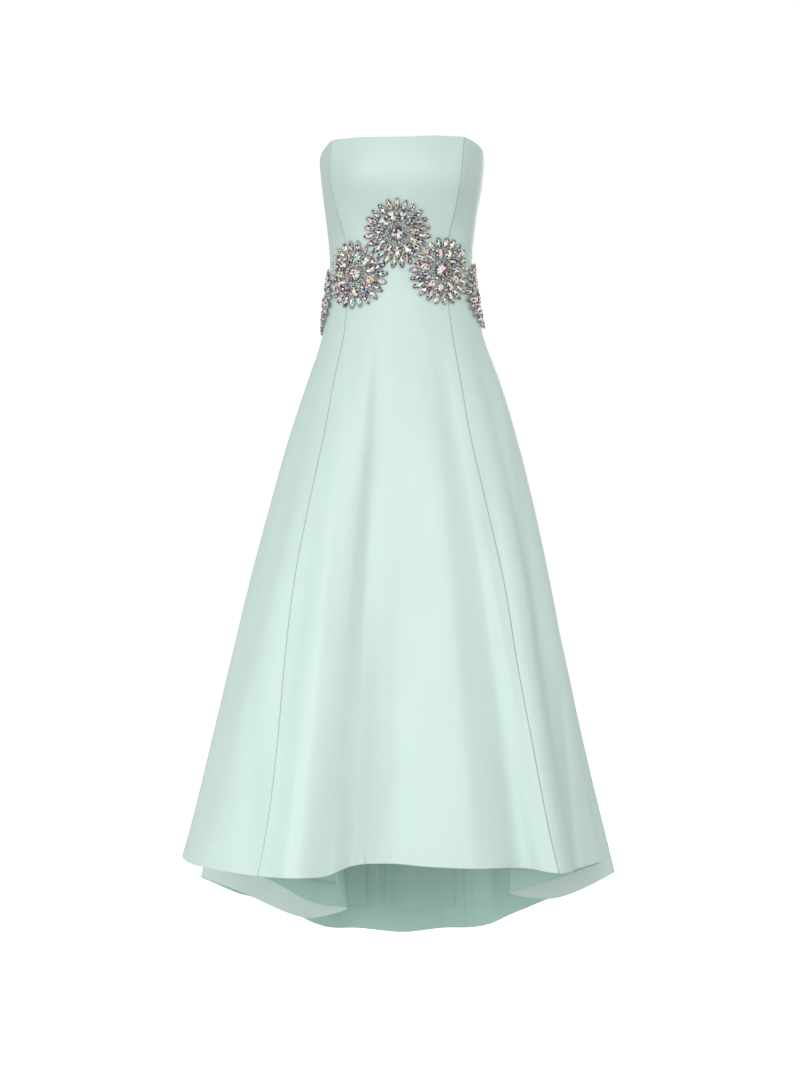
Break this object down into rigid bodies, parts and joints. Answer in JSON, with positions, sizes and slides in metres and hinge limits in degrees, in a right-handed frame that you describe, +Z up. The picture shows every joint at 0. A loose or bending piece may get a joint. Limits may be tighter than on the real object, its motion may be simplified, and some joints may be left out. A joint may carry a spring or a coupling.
{
  "type": "midi dress",
  "caption": "Strapless princess-line evening dress in stiff satin, with a flared skirt, a hem that dips at the back and crystal flowers at the waist.",
  "frame": {"origin": "centre of the waist, on the axis of the body that wears the dress", "axes": "+Z up, towards the top edge; -Y towards the front; +X towards the right of someone who looks at the front"},
  "size_m": [0.7307, 0.5384, 1.3625],
  "materials": {
    "satin": "soft sheen",
    "crystal": "polished, iridescent",
    "zip_tape": "matt",
    "zip_metal": "polished"
  },
  "bodies": {
    "dress": {"front_centre": "satin", "front_side_left": "satin", "front_side_right": "satin", "back_side_left": "satin", "back_side_right": "satin", "back_centre_left": "satin", "back_centre_right": "satin", "flower_centre": "crystal", "flower_left": "crystal", "flower_right": "crystal", "flower_side_left": "crystal", "flower_side_right": "crystal", "zip_tape_left": "zip_tape", "zip_tape_right": "zip_tape", "zip_coil": "zip_tape", "zip_slider": "zip_metal"},
    "pull": {"zip_pull": "zip_metal"}
  },
  "joints": [
    {"name": "zip_pull_swing", "type": "hinge", "parent": "dress", "child": "pull", "pos_m": [0, 0.10122, 0.12906], "axis": [1, 0, 0], "range_deg": [0, 150]}
  ]
}
